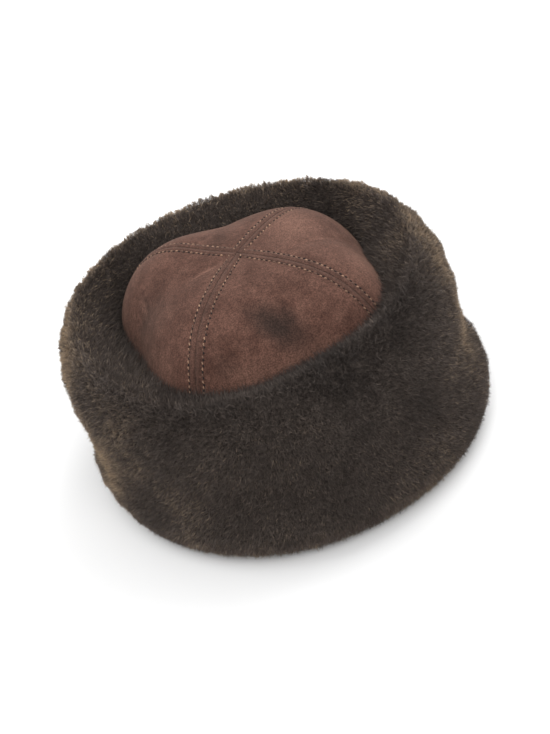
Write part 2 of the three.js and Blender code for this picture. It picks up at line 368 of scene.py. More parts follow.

# %% [markdown]
# ## Places on the suede
# Handling leaves dark, flattened places, such as the thumb mark on the front, and brushing leaves light
# ones. Some places are painted light and shade instead: a thin painted highlight along the edge of a fold
# or crease, painted shade inside a fold or hollow, and the painted shadow of the cuff low on the front,
# mixed with dirt. They could be painted on the mesh. Here each is an ellipsoid in the hat's own space with
# a ragged edge, so it stays on the suede from every side, and a line of the table can be changed by
# itself.

# %% Places on the suede
SUEDE_PLACES = [
    # what, centre in mm, half sizes in mm, turn about Z in degrees, colour, strength
    ("thumb mark", (-47.5, -48, 127), (14.5, 26, 40), 0, SUEDE_PRESSED_AND_SHADE, 0.84),
    ("tail of the mark", (-48, -60, 120), (15, 21, 40), 0, SUEDE_PRESSED_AND_SHADE, 0.40),
    # painted shade inside the fold at the left dent
    ("painted shade in the left fold", (-44, 49, 126), (20, 7, 18), 43, SUEDE_PRESSED_AND_SHADE, 0.45),
    ("worn side", (-34, 40, 136), (24, 14, 18), 20, SUEDE_DARK, 0.9),
    ("worn middle", (-40, 16, 139), (24, 18, 20), 60, SUEDE_DARK, 0.7),
    ("dull side", (-50, 33, 130), (20, 22, 20), 0, SUEDE_PRESSED_AND_SHADE, 0.24),
    ("patch by the top", (-20, -22, 143), (20, 9, 16), 30, SUEDE_DARK, 0.7),
    # painted shade in the hollow by the top of the back seam
    ("painted shade in the hollow by the top", (8, 20, 143), (20, 12, 10), 20, SUEDE_PRESSED_AND_SHADE, 0.28),
    # darker low on the front by the cuff: partly dirt, partly painted shadow of the cuff's lip
    ("painted cuff shadow and dirt", (-79, -29, 114), (10, 14, 14), 0, SUEDE_PRESSED_AND_SHADE, 0.30),
    ("painted cuff shadow and dirt, right", (-71, -47, 108), (10, 16, 12), 30, SUEDE_PRESSED_AND_SHADE, 0.22),
    ("left patch", (-50, 50, 119), (13, 10, 14), 140, SUEDE_PRESSED_AND_SHADE, 0.42),
    # painted highlight: a thin light streak along the edge of the crease
    ("painted highlight on the crease", (-20, 11, 142), (22, 1.8, 6), 147, SUEDE_LIGHT, 0.65),
    # painted highlight: a thin light streak along the edge of the fold
    ("painted highlight on the fold", (30, -44, 136), (20, 2.0, 12), 150, SUEDE_LIGHT, 0.5),
    ("brushed top", (36, -20, 140), (34, 24, 18), 20, SUEDE_LIGHT, 0.75),
    # painted highlight along the edge of the left fold
    ("painted highlight on the left fold", (-41, 53, 125), (14, 3, 16), 43, SUEDE_LIGHT, 0.5),
    ("brushed edge", (-58, -68, 106), (26, 44, 16), 45, SUEDE_LIGHT, 0.6),
    ("brushed side", (-80, 16, 113), (20, 22, 14), 20, SUEDE_LIGHT, 0.35),
    ("brushed front", (-78, -42, 108), (24, 28, 16), 60, SUEDE_LIGHT, 0.7),
    ("brushed left front", (22, -76, 124), (30, 22, 24), 0, SUEDE_LIGHT, 0.7),
]
RAGGED_NOISE, RAGGED_RANGE = (90, 4), (0.3, 0.7, -0.08, 0.08)
FULL_WITHIN, GONE_AT = 0.1, 1.0
MM = 0.001

for what, centre, half, turn, tint, strength in SUEDE_PLACES:
    local = nodes.new("ShaderNodeMapping")
    local.label = what
    local.vector_type = "TEXTURE"
    local.inputs["Location"].default_value = [MM * x for x in centre]
    local.inputs["Rotation"].default_value = (0, 0, math.radians(turn))
    local.inputs["Scale"].default_value = [MM * x for x in half]
    links.new(here, local.inputs["Vector"])
    away = nodes.new("ShaderNodeVectorMath")
    away.operation = "LENGTH"
    links.new(local.outputs["Vector"], away.inputs[0])
    uneven = add_noise_range(nodes, links, here, RAGGED_NOISE, RAGGED_RANGE)
    ragged = add_math(nodes, links, "ADD", away.outputs["Value"], uneven)
    cover = add_range(nodes, links, ragged, FULL_WITHIN, GONE_AT, strength, 0.0)
    colour = add_mix(nodes, links, cover, colour, tint)
print(len(SUEDE_PLACES), "places on the suede")

# %% [markdown]
# ## Seams and nap
# The groove of a seam collects dirt, and the strip between the stitch rows is rubbed dull. Each panel
# carries its distance from the seam as an attribute, which the material reads. The nap is a fine grain
# and short streaks down the sides. It multiplies the colour, so dark places stay dark under it.

# %% Seams and nap of the suede
GROOVE_RANGE, RUBBED_RANGE = (0.0001, 0.0008, 0.35, 0.0), (0.0036, 0.0050, 0.38, 0.0)
STREAK_NOISE, STREAK_RANGE, STREAK_STRETCH = (420, 4), (0.35, 0.7, 1.12, 0.82), (1, 1, 0.4)
GRAIN_NOISE, GRAIN_RANGE = (1200, 2), (0.34, 0.66, 0.66, 1.36)

from_seam = nodes.new("ShaderNodeAttribute")
from_seam.attribute_name = "from_seam"
groove = add_range(nodes, links, from_seam.outputs["Fac"], *GROOVE_RANGE)
colour = add_mix(nodes, links, groove, colour, SUEDE_PRESSED_AND_SHADE)
rubbed = add_range(nodes, links, from_seam.outputs["Fac"], *RUBBED_RANGE)
colour = add_mix(nodes, links, rubbed, colour, SUEDE_SEAM)

drawn_out = nodes.new("ShaderNodeMapping")
drawn_out.inputs["Scale"].default_value = STREAK_STRETCH
links.new(here, drawn_out.inputs["Vector"])
streaks = add_noise_range(nodes, links, drawn_out.outputs["Vector"], STREAK_NOISE, STREAK_RANGE)
grain = add_noise_range(nodes, links, here, GRAIN_NOISE, GRAIN_RANGE)
napped = nodes.new("ShaderNodeVectorMath")
napped.operation = "SCALE"
links.new(colour, napped.inputs[0])
links.new(add_math(nodes, links, "MULTIPLY", streaks, grain), napped.inputs["Scale"])
links.new(napped.outputs["Vector"], shader.inputs["Base Color"])
print("suede with its nap:", len(nodes), "nodes")

# %% Surface of the suede
NAP_NOISE, PORE_NOISE = (900, 3, 0.75), (260, 4, 0.65)
SUEDE_BUMP, SUEDE_BUMP_HEIGHT = 0.45, 0.0009
SUEDE_SURFACE = {
    "Roughness": 0.92, "Specular IOR Level": 0.2, "Sheen Weight": 0.10,
    "Sheen Roughness": 0.45, "Sheen Tint": (0.9, 0.62, 0.48, 1),
}

nap = add_noise(nodes, links, here, *NAP_NOISE)
pores = add_noise(nodes, links, here, *PORE_NOISE)
relief = add_math(nodes, links, "ADD", nap, pores)
add_bump(nodes, links, relief, SUEDE_BUMP, SUEDE_BUMP_HEIGHT, shader)
for socket, value in SUEDE_SURFACE.items():
    shader.inputs[socket].default_value = value
print("suede material:", len(nodes), "nodes")

# %% [markdown]
# ## The four panels
# Each panel starts as a flat grid, as the cut piece of suede is flat, and its points move onto the form of
# the cap. More columns lie beside the seams, where the edge of the suede is turned under and the
# topstitch pulls it down. A Solidify modifier then gives the sheet its thickness on the inside.

# %% Relief of the panels
SEAM_RELIEF_AWAY = [0, 0.0011, 0.0027, 0.0044, 0.0085]
SEAM_RELIEF_RISE = [-0.0003, 0.0001, 0.0004, -0.0003, 0]
RELIEF_END, RELIEF_FADE = math.radians(70), math.radians(20)
OPEN_SUEDE_FROM, OPEN_SUEDE_REACH = 0.006, 0.012
WRINKLES = [
    # size, depth, seed
    (0.020, 0.00035, 11),
    (0.009, 0.00012, 12),
]


def seam_rise(away):
    """Relief beside a seam: groove, raised edge, the channel of the stitches, then the open panel."""
    last = len(SEAM_RELIEF_AWAY) - 2
    k = np.clip(np.searchsorted(SEAM_RELIEF_AWAY, away, "right") - 1, 0, last)
    start, end = np.take(SEAM_RELIEF_AWAY, k), np.take(SEAM_RELIEF_AWAY, k + 1)
    low, high = np.take(SEAM_RELIEF_RISE, k), np.take(SEAM_RELIEF_RISE, k + 1)
    part = ramp(away, start, end - start)
    return low + (high - low) * (1 - np.cos(np.pi * part)) / 2


def suede_points(panel, share, bend):
    """The finished outside of a panel, with the relief of its seams and its wrinkles."""
    fade = np.clip((RELIEF_END - bend) / RELIEF_FADE, 0, 1)
    plain = cap_points(panel, share, bend, np.zeros_like(share))
    away = np.min([abs(plain[:, 0] * y - plain[:, 1] * x) for x, y in panel["seam_lines"]], 0)
    open_suede = ramp(away, OPEN_SUEDE_FROM, OPEN_SUEDE_REACH)
    lift = fade * seam_rise(away)
    for size, depth, seed in WRINKLES:
        lift = lift + fade * open_suede * depth * smooth_noise(plain, size, seed)
    return cap_points(panel, share, bend, lift), away


# %% Mesh of a panel
PANEL_COLUMNS, PANEL_ROWS = 72, 104
EDGE_COLUMNS = 0.2
ROW_CROWDING = 1.8
NARROWEST_PANEL = 0.040
MERGE_WITHIN = 1e-6


def unit_grid(columns, rows):
    """A flat grid, and the place of each of its points from 0 to 1 both ways."""
    bm = bmesh.new()
    bmesh.ops.create_grid(bm, x_segments=columns, y_segments=rows, size=0.5)
    return bm, np.array([vert.co[:] for vert in bm.verts]) + 0.5


def close_and_smooth(bm):
    """Merges points that met, turns the faces one way and shades them smooth."""
    bmesh.ops.remove_doubles(bm, verts=bm.verts, dist=MERGE_WITHIN)
    bmesh.ops.recalc_face_normals(bm, faces=bm.faces)
    for face in bm.faces:
        face.smooth = True


def panel_width(panel, bend):
    """The width that the stitched edges are measured on."""
    reach = np.sin(bend) ** (2 / CAP_SQUARENESS)
    return np.maximum(NARROWEST_PANEL, CAP_HALF_WIDTH * reach * panel["turn"])


def panel_mesh(panel):
    """The outside of one panel, with the distance from its seams on every point."""
    bm, flat = unit_grid(PANEL_COLUMNS, PANEL_ROWS)
    bend = np.pi / 2 * np.clip(flat[:, 1], 0, 1) ** ROW_CROWDING
    stitched = SEAM_RELIEF_AWAY[-1] / panel_width(panel, bend)
    side = np.minimum(flat[:, 0], 1 - flat[:, 0])
    share = np.interp(side, [0, EDGE_COLUMNS], [0, 1]) * stitched
    share = share + np.interp(side, [EDGE_COLUMNS, 0.5], [0, 1]) * (0.5 - stitched)
    share = np.where(flat[:, 0] < 0.5, share, 1 - share)
    places, away = suede_points(panel, share, bend)
    layer = bm.verts.layers.float.new("from_seam")
    for vert, place, distance in zip(bm.verts, places, away):
        vert.co = place
        vert[layer] = distance
    close_and_smooth(bm)
    if sum(face.normal.dot(face.calc_center_median()) for face in bm.faces) < 0:
        bmesh.ops.reverse_faces(bm, faces=bm.faces)
    return bm


# %% Panels
MEASURE_STEPS, MIDDLE_START = 200, 0.01


for panel in panels:
    bm = panel_mesh(panel)
    area = sum(face.calc_area() for face in bm.faces)
    piece = piece_from(bm, panel["name"] + "_suede", suede)
    wall = piece.modifiers.new("wall", "SOLIDIFY")
    wall.thickness = SUEDE_WALL
    wall.offset = -1
    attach(piece, "root")
    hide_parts(panel["name"])
    down = np.linspace(MIDDLE_START, np.pi / 2, MEASURE_STEPS)
    middle, _ = suede_points(panel, np.full(MEASURE_STEPS, 0.5), down)
    across = np.linspace(0, 1, MEASURE_STEPS)
    hem, _ = suede_points(panel, across, np.full(MEASURE_STEPS, np.pi / 2))

# %% [markdown]
# ## Topstitch
# Two rows of tan thread run beside each seam, 4.4 mm from it, with a stitch every 3.7 mm. One stitch is
# modelled from a small sphere, drawn out and bent down at its ends where the thread goes into the suede,
# and a flat dark sphere between two stitches is painted shade: it stands for the shadow in the needle
# hole.
# A curve with an array modifier could carry them. Arrays of numbers lay the copies faster and join them
# into one mesh for each seam.

# %% Thread material
THREAD_DARK, THREAD_LIGHT = (0.10, 0.050, 0.032), (0.44, 0.265, 0.165)
THREAD_NOISE, THREAD_RANGE, THREAD_ROUGHNESS = (260, 3), (0.38, 0.70), 0.6
# the needle holes are flat dark discs lying on the suede: painted shade, with no opening under them
HOLE_SHADE_COLOUR, HOLE_ROUGHNESS = (0.012, 0.007, 0.006), 1.0

thread, nodes, links = new_material("tan_thread")
shader = nodes["Principled BSDF"]
here = nodes.new("ShaderNodeTexCoord").outputs["Object"]
faded = add_noise_range(nodes, links, here, THREAD_NOISE, THREAD_RANGE)
thread_colour = add_mix(nodes, links, faded, THREAD_DARK, THREAD_LIGHT)
links.new(thread_colour, shader.inputs["Base Color"])
shader.inputs["Roughness"].default_value = THREAD_ROUGHNESS
hole = plain_material("painted_hole_shade", HOLE_SHADE_COLOUR, HOLE_ROUGHNESS)
print("thread material:", len(nodes), "nodes")

# %% One stitch
STITCH_PITCH, STITCH_LONG, STITCH_THICK, STITCH_BOW = 0.0037, 0.0023, 0.0009, 0.0006
HOLE_RADIUS, HOLE_SHAPE = 0.00086, (1.1, 0.75, 0.4)


def corners_and_faces(bm):
    """The points and triangles of a finished bmesh as arrays."""
    bmesh.ops.triangulate(bm, faces=bm.faces)
    bm.verts.index_update()
    corners = np.array([vert.co[:] for vert in bm.verts])
    faces = np.array([[vert.index for vert in face.verts] for face in bm.faces])
    bm.free()
    return corners, faces


bm = bmesh.new()
bmesh.ops.create_uvsphere(bm, u_segments=8, v_segments=6, radius=0.5)
lying = Matrix.Rotation(math.pi / 2, 3, "Y")
bmesh.ops.rotate(bm, verts=bm.verts, cent=(0, 0, 0), matrix=lying)
bmesh.ops.scale(bm, verts=bm.verts, vec=(STITCH_LONG, STITCH_THICK, STITCH_THICK))
for vert in bm.verts:
    vert.co.z -= STITCH_BOW * (2 * vert.co.x / STITCH_LONG) ** 2
stitch_corners, stitch_faces = corners_and_faces(bm)

bm = bmesh.new()
bmesh.ops.create_uvsphere(bm, u_segments=6, v_segments=4, radius=HOLE_RADIUS)
bmesh.ops.scale(bm, verts=bm.verts, vec=HOLE_SHAPE)
hole_corners, hole_faces = corners_and_faces(bm)
print("one stitch:", len(stitch_faces), "triangles, one needle hole:", len(hole_faces))

# %% Places of the stitches
ROW_AWAY, ROW_END, ROW_SAMPLES = 0.0044, 0.93, 3000
SEAM_STANDS_OUT = 1.1
INWARD_SHARE = 0.02
FIRST_STITCH, LAST_STITCH, PITCH_SPREAD = 0.0015, 0.001, 0.00015
DIRECTION_STEP = 0.001
STITCH_TURN, STITCH_TURN_SPREAD = 0.28, 0.10
CAP_MIDDLE = [0, 0, 0.05]


def unit(vectors):
    """Vectors of the same direction and a length of 1."""
    return vectors / np.linalg.norm(vectors, axis=-1, keepdims=True)


def length_along(line):
    """The way along a line at each of its points."""
    return np.concatenate([[0], np.cumsum(np.linalg.norm(np.diff(line, axis=0), axis=1))])


def row_of_places(panel, first_side, start, seed):
    """Where the stitches of one row lie, and which way they point. Start is the distance from the top."""
    x, y = panel["seam_lines"][0 if first_side else 1]
    plain = 1 / math.hypot(x / CAP_HALF_WIDTH, y / CAP_HALF_LENGTH)
    reach = np.linspace(start / plain, ROW_END, ROW_SAMPLES)
    bend = np.arcsin(reach ** (CAP_SQUARENESS / 2))
    from_seam = np.clip(ROW_AWAY / (SEAM_STANDS_OUT * plain * reach), 0, 1)
    share = np.arcsin(from_seam) / panel["turn"]
    share = share if first_side else 1 - share
    line, _ = suede_points(panel, share, bend)
    inward, _ = suede_points(panel, share + (INWARD_SHARE if first_side else -INWARD_SHARE), bend)
    length = length_along(line)

    def at(values, where):
        return np.stack([np.interp(where, length, values[:, k]) for k in range(3)], -1)

    rng = np.random.default_rng(seed)
    steps = np.arange(FIRST_STITCH, length[-1] - LAST_STITCH, STITCH_PITCH)
    steps = steps + rng.normal(0, PITCH_SPREAD, len(steps))
    place = at(line, steps)
    along = unit(at(line, steps + DIRECTION_STEP) - at(line, steps - DIRECTION_STEP))
    up = unit(np.cross(along, at(inward, steps) - place))
    up *= np.sign((up * (place - CAP_MIDDLE)).sum(-1, keepdims=True))
    aside = np.cross(up, along)
    turn = rng.normal(STITCH_TURN, STITCH_TURN_SPREAD, len(steps))[:, None]
    c, s = np.cos(turn), np.sin(turn)
    along, aside = along * c + aside * s, aside * c - along * s
    return place, np.stack([along, aside, up], 1), along, up


# %% Rows of stitches
ROW_START = {"left": 0.0045, "right": 0.0045, "front": 0.0085, "back": 0.0085}
ROW_SEED, OTHER_ROW_SEED = 20, 30
STITCH_LIFT, HOLE_LIFT = 0.00018, 0.00004


def joined_copies(name, corners, faces, material, places, axes):
    """One mesh of many copies: axes holds the three directions of each copy."""
    points = np.einsum("vi,nij->nvj", corners, axes) + places[:, None, :]
    every = faces[None] + len(corners) * np.arange(len(places))[:, None, None]
    mesh = bpy.data.meshes.new(name)
    mesh.from_pydata(points.reshape(-1, 3), [], every.reshape(-1, 3))
    mesh.polygons.foreach_set("use_smooth", np.ones(len(mesh.polygons), bool))
    mesh.materials.append(material)
    piece = bpy.data.objects.new(name, mesh)
    scene.collection.objects.link(piece)
    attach(piece, "root")


for k, (seam, *_) in enumerate(SEAMS):
    start = ROW_START[seam]
    rows = [row_of_places(panels[k], True, start, ROW_SEED + k),
            row_of_places(panels[k - 1], False, start, OTHER_ROW_SEED + k)]
    places, turns, along, up = (np.concatenate(parts) for parts in zip(*rows))
    stitch_places = places + up * STITCH_LIFT
    # a dark disc between two stitches is the painted shade of a needle hole
    hole_places = places + along * STITCH_PITCH / 2 + up * HOLE_LIFT
    joined_copies(f"topstitch_{seam}", stitch_corners, stitch_faces, thread, stitch_places, turns)
    joined_copies(f"painted_hole_shades_{seam}", hole_corners, hole_faces, hole, hole_places, turns)
    print(seam, "seam:", len(places), "stitches")

# %% [markdown]
# ## The form of the cuff
# The cuff is a strip of sheepskin, folded up, with the wool outside. Its section changes round the hat: a
# table gives the crest, the height where the fleece meets the suede, the lobe, the waist and the foot
# every 30 degrees, and smooth curves join them. A lattice could squeeze a plain ring into this shape; the
# table says it in numbers that can be checked.

# %% Sizes of the cuff
SEAT_GAP, FLOOR_INSET, FLOOR_INNER_INSET = 0.001, 0.014, 0.003
HEEL_HEIGHT, HEEL_INSET, FOOT_HEIGHT, WAIST_HEIGHT = 0.006, 0.005, 0.022, 0.045
LOBE_SHARE, LIP_RADIUS_SHARE, LIP_HEIGHT_SHARE = 0.73, 0.6, 0.8
CUFF_ROWS = MM * np.array([
    # height and radius of the crest, height where the fleece meets the suede,
    # radius of the lobe, the waist and the foot, every 30 degrees from +X
    (125, 116, 101, 135, 129, 134),
    (122, 123, 99, 142, 132, 137),
    (122, 126, 99, 143, 133, 139),
    (126, 120, 101, 139, 132, 139),
    (129, 118, 99, 134, 130, 136),
    (124, 118, 102, 130, 129, 132),
    (113, 118, 105, 130, 129, 134),
    (114, 117, 103, 133, 131, 137),
    (120, 116, 107, 130, 132, 137),
    (123, 114, 111, 129, 131, 138),
    (128, 112, 112, 127, 128, 137),
    (129, 111, 103, 131, 128, 137),
])
print("cuff table:", len(CUFF_ROWS), "directions")


# %% Form of the cuff
def cap_radius(azimuth, z):
    """Outside radius of the cap in one direction and at one height."""
    rise = ramp(z, HEM_HEIGHT, CAP_TOP - HEM_HEIGHT)
    reach = (1 - rise**CAP_SQUARENESS) ** (1 / CAP_SQUARENESS)
    wide, long = np.cos(azimuth) / CAP_HALF_WIDTH, np.sin(azimuth) / CAP_HALF_LENGTH
    around = np.arctan2(long, wide)
    ridge = np.ones_like(reach)
    for panel in panels:
        share = (around - panel["start"]) % (2 * np.pi) / panel["turn"]
        ridge = np.where(share <= 1, ridge_share(panel, share, z), ridge)
    return reach * ridge / np.hypot(wide, long)


def smooth_through(a, b, c, d, part):
    """A smooth curve from b to c that comes from a and goes on to d."""
    slope, next_slope = (c - a) / 2, (d - b) / 2
    bend = 3 * (c - b) - 2 * slope - next_slope
    twist = 2 * (b - c) + slope + next_slope
    return b + part * (slope + part * (bend + part * twist))


def cuff_points(azimuth, along):
    """Points of the cuff's outside: along runs from the floor (0) over the crest to the suede (1)."""
    place = azimuth / (2 * np.pi) * len(CUFF_ROWS)
    before = np.floor(place).astype(int)
    rows = [CUFF_ROWS[(before + step) % len(CUFF_ROWS)] for step in (-1, 0, 1, 2)]
    crest_z, crest, seat_z, lobe, waist, foot = smooth_through(*rows, (place - before)[:, None]).T
    seat = cap_radius(azimuth, seat_z) + SEAT_GAP
    level = np.ones_like(foot)
    radii = [foot - FLOOR_INSET, foot - HEEL_INSET, foot, waist, lobe, crest,
             seat + LIP_RADIUS_SHARE * (crest - seat), seat]
    heights = [0 * level, HEEL_HEIGHT * level, FOOT_HEIGHT * level, WAIST_HEIGHT * level,
               LOBE_SHARE * crest_z, crest_z, seat_z + LIP_HEIGHT_SHARE * (crest_z - seat_z), seat_z]
    knots = np.stack([np.stack(radii, -1), np.stack(heights, -1)], -1)
    spans = len(radii) - 1
    step = np.minimum((along * spans).astype(int), spans - 1)
    each = np.arange(len(along))
    around = [knots[each, np.clip(step + k, 0, spans)] for k in (-1, 0, 1, 2)]
    radius, z = smooth_through(*around, (along * spans - step)[:, None]).T
    return np.stack([radius * np.cos(azimuth), radius * np.sin(azimuth), z], -1)


def cuff_normals(azimuth, along):
    """Outward directions of the cuff."""
    small = 1e-3
    round_it = cuff_points(azimuth + small, along) - cuff_points(azimuth - small, along)
    low, high = np.clip(along - small, 0, 1), np.clip(along + small, 0, 1)
    return unit(np.cross(round_it, cuff_points(azimuth, high) - cuff_points(azimuth, low)))


crest_knot = 5 / 7
tall = cuff_points(np.radians(np.arange(360.0)), np.full(360, crest_knot))[:, 2]
print("crest of the cuff from", round(1000 * tall.min()), "to", round(1000 * tall.max()), "mm")

# %% [markdown]
# ## The skin under the pile
# Under the fibres lies the skin itself. It is a ring that follows the cuff 3.2 mm below the tips of the
# pile, goes down beside the cap and closes on the floor. It is dark brown, so a gap between fibres reads
# as depth. A spin would give a round ring only, so a flat grid is wrapped round and its two pairs of
# edges are merged.

# %% Material of the skin
SKIN_DARK, SKIN_LIGHT = (0.026, 0.021, 0.018), (0.066, 0.053, 0.046)
SKIN_NOISE, SKIN_RANGE, SKIN_BUMP_NOISE = (500, 4), (0.3, 0.7), (900, 3)
SKIN_BUMP, SKIN_BUMP_HEIGHT, SKIN_ROUGHNESS, SKIN_SPECULAR = 0.8, 0.001, 1.0, 0.1

dark_wool, nodes, links = new_material("dark_wool_base")
shader = nodes["Principled BSDF"]
here = nodes.new("ShaderNodeTexCoord").outputs["Object"]
mottle = add_noise_range(nodes, links, here, SKIN_NOISE, SKIN_RANGE)
links.new(add_mix(nodes, links, mottle, SKIN_DARK, SKIN_LIGHT), shader.inputs["Base Color"])
rough = add_noise(nodes, links, here, *SKIN_BUMP_NOISE)
add_bump(nodes, links, rough, SKIN_BUMP, SKIN_BUMP_HEIGHT, shader)
shader.inputs["Roughness"].default_value = SKIN_ROUGHNESS
shader.inputs["Specular IOR Level"].default_value = SKIN_SPECULAR
print("skin material:", len(nodes), "nodes")

# %% Skin of the cuff
PILE_DEEP, SKIN_FLOOR, SEAT_DROP = 0.0032, 0.002, 0.008
SKIN_COLUMNS, SKIN_ROWS, SKIN_OUTSIDE, SKIN_UNDERSIDE = 192, 60, 48, 3
SKIN_INSIDE_END = SKIN_ROWS - SKIN_UNDERSIDE


def skin_points(azimuth, along):
    """Points of the skin under the pile of the cuff's outside."""
    return cuff_points(azimuth, along) - PILE_DEEP * cuff_normals(azimuth, along)


bm, flat = unit_grid(SKIN_COLUMNS, SKIN_ROWS)
azimuth = 2 * np.pi * flat[:, 0]
row = np.rint(flat[:, 1] * SKIN_ROWS)
outside = skin_points(azimuth, np.clip(row / SKIN_OUTSIDE, 0, 1))
outside[:, 2] = np.maximum(outside[:, 2], SKIN_FLOOR)
down = ramp(row, SKIN_OUTSIDE, SKIN_INSIDE_END - SKIN_OUTSIDE)
seat_z = cuff_points(azimuth, np.ones_like(azimuth))[:, 2]
z = (1 - down) * (seat_z - SEAT_DROP) + down * SKIN_FLOOR
radius = cap_radius(azimuth, z) + SEAT_GAP + np.where(down < 1, 0, FLOOR_INNER_INSET)
inside = np.stack([radius * np.cos(azimuth), radius * np.sin(azimuth), z], -1)
places = np.where((row <= SKIN_OUTSIDE)[:, None], outside, inside)
under = ramp(row, SKIN_INSIDE_END, SKIN_UNDERSIDE)[:, None]
start = skin_points(azimuth, np.zeros_like(azimuth))
start[:, 2] = SKIN_FLOOR
places = (1 - under) * places + under * start
for vert, place in zip(bm.verts, places):
    vert.co = place
close_and_smooth(bm)
print("open edges of the skin:", sum(edge.is_boundary for edge in bm.edges))
skin = piece_from(bm, "cuff_skin", dark_wool)
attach(skin, "root")
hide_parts("cuff")

# %% [markdown]
# ## The pile
# Sheared fleece is a dense plush of short fibres, cut level, dark at the root and paler at the tip. Golden
# tips are painted light: the glow of light shining through them from behind. Hair particles or hair curves
# would look right in a render but would not leave Blender as a mesh. So each fibre is a slim kite of two
# triangles: root, two sides and tip. They are laid out with arrays and joined into four pieces, one for
# each quarter of the cuff. Each fibre's map holds its tone and the way up it.

# %% Pile material
WOOL_ROOT, WOOL_DARK, WOOL_PALE = (0.026, 0.021, 0.018), (0.033, 0.026, 0.023), (0.180, 0.141, 0.119)
# the golden tip colour is painted light: fibre tips glowing with light shining through them from behind
WOOL_BACKLIT_TIP, BACKLIT_TONES = (0.42, 0.31, 0.20), (0.5, 1.0)
ROOT_PART, TIP_PART = (0.0, 0.5), (0.35, 0.85)
WOOL_ROUGHNESS, WOOL_SPECULAR = 0.7, 0.3

pile, nodes, links = new_material("sheared_fleece")
shader = nodes["Principled BSDF"]
fibre_map = nodes.new("ShaderNodeUVMap")
fibre_map.uv_map = "OFBake"
split = nodes.new("ShaderNodeSeparateXYZ")
links.new(fibre_map.outputs["UV"], split.inputs["Vector"])
tone, up_fibre = split.outputs["X"], split.outputs["Y"]
shaft = add_mix(nodes, links, tone, WOOL_DARK, WOOL_PALE)
golden = add_range(nodes, links, tone, *BACKLIT_TONES)
tip_colour = add_mix(nodes, links, golden, shaft, WOOL_BACKLIT_TIP)
colour = add_mix(nodes, links, add_range(nodes, links, up_fibre, *ROOT_PART), WOOL_ROOT, shaft)
colour = add_mix(nodes, links, add_range(nodes, links, up_fibre, *TIP_PART), colour, tip_colour)
links.new(colour, shader.inputs["Base Color"])
shader.inputs["Roughness"].default_value = WOOL_ROUGHNESS
shader.inputs["Specular IOR Level"].default_value = WOOL_SPECULAR
print("pile material:", len(nodes), "nodes")

# %% Mesh of the fibres
FIBRE_WIDEST_AT, MAP_SPREAD = 0.7, 0.02


def fibre_mesh(name, root, tip, wide, shade, rng):
    """Joined kites from roots to tips. The map holds each fibre's tone and the way up it."""
    count = len(root)
    along = tip - root
    aside = unit(np.cross(along, rng.normal(size=(count, 3)))) * wide[:, None] / 2
    middle = root + FIBRE_WIDEST_AT * along
    corners = np.stack([root, middle - aside, middle + aside, tip], 1).reshape(-1, 3)
    faces = 4 * np.arange(count)[:, None] + np.array([0, 2, 1, 1, 2, 3])
    spread = MAP_SPREAD * np.array([0, 1, -1, -1, 1, 0])
    rise = np.array([0, *[FIBRE_WIDEST_AT] * 4, 1])
    across_map = np.clip(shade[:, None] + spread, 0, 1)
    up_map = np.broadcast_to(rise, across_map.shape)
    mesh = bpy.data.meshes.new(name)
    mesh.from_pydata(corners, [], faces.reshape(-1, 3))
    layer = mesh.uv_layers.new(name="OFBake")
    layer.data.foreach_set("uv", np.stack([across_map, up_map], -1).astype(np.float32).ravel())
    mesh.materials.append(pile)
    piece = bpy.data.objects.new(name, mesh)
    scene.collection.objects.link(piece)
    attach(piece, "root")
    return piece


# %% [markdown]
# ## Locks and tufts
# The fleece isn't an even brush. Shallow locks run up the cuff, and the tips of neighbouring fibres cling
# together in tufts of about 3 mm, most of all along the crest. Children of hair particles clump in the
# same way. Here the cuff is divided like a brick wall with wavy joints, and each brick draws the tips of
# its fibres towards its own middle. More fibres stand along the crest, where the outline would show gaps.

# %% Where the fibres stand
SECTION_STEPS, SECTION_AZIMUTH = 400, 4.0
CREST_ALONG, CREST_CROWD, CREST_CROWD_REACH = 0.70, 0.7, 0.09


def bell(value, middle, reach):
    """1 at the middle, falling softly to 0 on both sides of it."""
    return np.exp(-(((value - middle) / reach) ** 2))


section_steps = np.linspace(0, 1, SECTION_STEPS)
section_length = length_along(cuff_points(np.full(SECTION_STEPS, SECTION_AZIMUTH), section_steps))
crowding = 1 + CREST_CROWD * bell(section_steps, CREST_ALONG, CREST_CROWD_REACH)
section_fibres = np.concatenate([[0], np.cumsum(np.diff(section_length) * crowding[1:])])
print("pile from floor to suede:", round(1000 * section_length[-1]), "mm")

# %% Locks and tufts
CUFF_CURVE_STEPS = 28
LOCKS = [
    # how many round the hat, lean over the steps of the CAD model's curve, height
    (17, 2.4 * CUFF_CURVE_STEPS, 0.0006),
    (29, -1.7 * CUFF_CURVE_STEPS, 0.0005),
]
LOCKS_START, LOCKS_FULL, LOCKS_FADE, LOCKS_END = 0.15, 0.3, 0.8, 0.95
TUFT, TUFT_PULL, TUFT_HIGH, CUFF_RADIUS = 0.0034, 0.45, 0.0021, 0.13
TUFT_WAVE, TUFT_ASIDE, TUFT_RISE, TUFT_ROUND = 0.8, 0.3, 0.6, 2
TUFT_DICE, TUFT_SEED = 64, 63
TUFT_LEAST, TUFT_CREST_REACH = 0.25, 0.14


def lock_lift(azimuth, along):
    """How far the shallow locks of the pile stand out."""
    starting = ramp(along, LOCKS_START, LOCKS_FULL - LOCKS_START)
    fade = starting * (1 - ramp(along, LOCKS_FADE, LOCKS_END - LOCKS_FADE))
    return fade * sum(high * np.cos(count * azimuth + lean * along) for count, lean, high in LOCKS)


